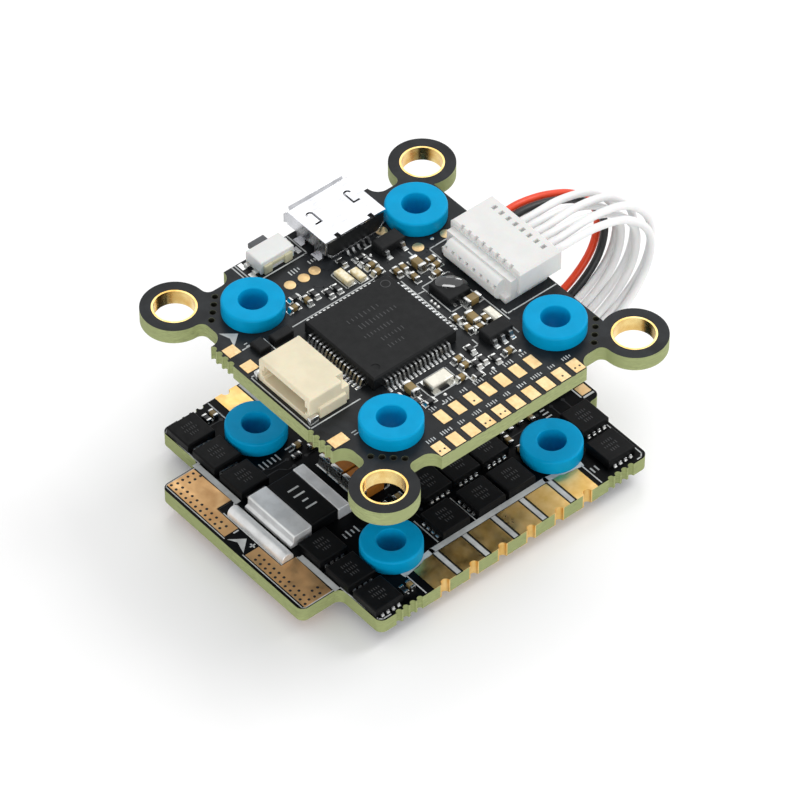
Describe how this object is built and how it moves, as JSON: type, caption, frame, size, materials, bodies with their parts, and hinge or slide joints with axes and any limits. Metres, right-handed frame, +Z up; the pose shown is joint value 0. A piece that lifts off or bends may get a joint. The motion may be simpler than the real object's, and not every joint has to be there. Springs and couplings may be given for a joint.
{
  "type": "flight controller stack",
  "caption": "Drone flight controller board stacked over a four-way motor speed controller board and joined to it by a short wire harness, with soft mounting grommets.",
  "frame": {"origin": "centre of the grommet pattern, on the plane the lower grommets stand on", "axes": "+Z up through the stack, +Y forward (the harness side), +X towards the rows of solder pads"},
  "size_m": [0.037, 0.0519, 0.023],
  "materials": {
    "fc_mask": "satin solder mask, olive-green laminate at the edges",
    "esc_mask": "satin solder mask, olive-green laminate at the edges",
    "gold_plating": "bright immersion gold",
    "pad_gold": "matt immersion gold",
    "pad_copper": "matt gold over copper",
    "pad_brass": "matt gold over copper",
    "chip_black": "moulded epoxy",
    "tinned_leads": "matt tin",
    "crystal_can": "satin",
    "led_lens": "clear over phosphor",
    "capacitor_tan": "fired ceramic",
    "capacitor_orange": "fired ceramic",
    "resistor_black": "glazed",
    "solder_tin": "bright solder",
    "socket_steel": "bright nickel",
    "black_plastic": "moulded",
    "contact_gold": "flash gold",
    "button_white": "moulded",
    "button_grey": "moulded",
    "cream_plastic": "moulded, heat resistant nylon",
    "white_plastic": "moulded nylon",
    "shunt_tin": "brushed tin plate",
    "blue_silicone": "soft matt silicone",
    "white_wire": "silicone insulation",
    "red_wire": "silicone insulation",
    "black_wire": "silicone insulation"
  },
  "bodies": {
    "stack": {"fc_board": "fc_mask", "fc_ring_plating": "gold_plating", "fc_solder_pads": "pad_gold", "mcu_package": "chip_black", "mcu_leads": "tinned_leads", "gyro_sensor": "chip_black", "fc_crystal": "crystal_can", "fc_leds": "led_lens", "fc_regulators": "chip_black", "fc_regulator_leads": "tinned_leads", "fc_capacitors": "capacitor_tan", "fc_resistors": "resistor_black", "fc_chip_ends": "solder_tin", "fc_underside_chips": "chip_black", "fc_underside_leads": "tinned_leads", "usb_shell": "socket_steel", "usb_insert": "black_plastic", "usb_contacts": "tinned_leads", "button_housing": "button_white", "button_dome": "contact_gold", "button_terminals": "tinned_leads", "receiver_socket": "cream_plastic", "receiver_contacts": "contact_gold", "receiver_solder_tabs": "tinned_leads", "fc_harness_header": "white_plastic", "fc_harness_pins": "contact_gold", "fc_harness_plug": "white_plastic", "fc_grommet_1": "blue_silicone", "fc_grommet_2": "blue_silicone", "fc_grommet_3": "blue_silicone", "fc_grommet_4": "blue_silicone", "esc_board": "esc_mask", "battery_pads": "pad_copper", "motor_pads": "pad_brass", "esc_mosfets": "chip_black", "esc_mosfet_leads": "tinned_leads", "esc_processors": "chip_black", "esc_gate_drivers": "chip_black", "esc_capacitors": "capacitor_orange", "esc_capacitor_ends": "solder_tin", "current_shunt": "chip_black", "shunt_terminals": "shunt_tin", "bus_bar": "shunt_tin", "esc_harness_header": "white_plastic", "esc_harness_pins": "contact_gold", "esc_harness_plug": "white_plastic", "esc_grommet_1": "blue_silicone", "esc_grommet_2": "blue_silicone", "esc_grommet_3": "blue_silicone", "esc_grommet_4": "blue_silicone", "wire_power": "red_wire", "wire_ground": "black_wire", "wire_signal_1": "white_wire", "wire_signal_2": "white_wire", "wire_signal_3": "white_wire", "wire_signal_4": "white_wire", "wire_signal_5": "white_wire", "wire_signal_6": "white_wire"},
    "boot_button": {"button_plunger": "button_grey"}
  },
  "joints": [
    {"name": "boot_button_press", "type": "slide", "parent": "stack", "child": "boot_button", "axis": [1, 0, 0], "range_m": [0, 0.00025], "stiffness_N_per_m": 1000, "springref_m": -0.0005}
  ]
}
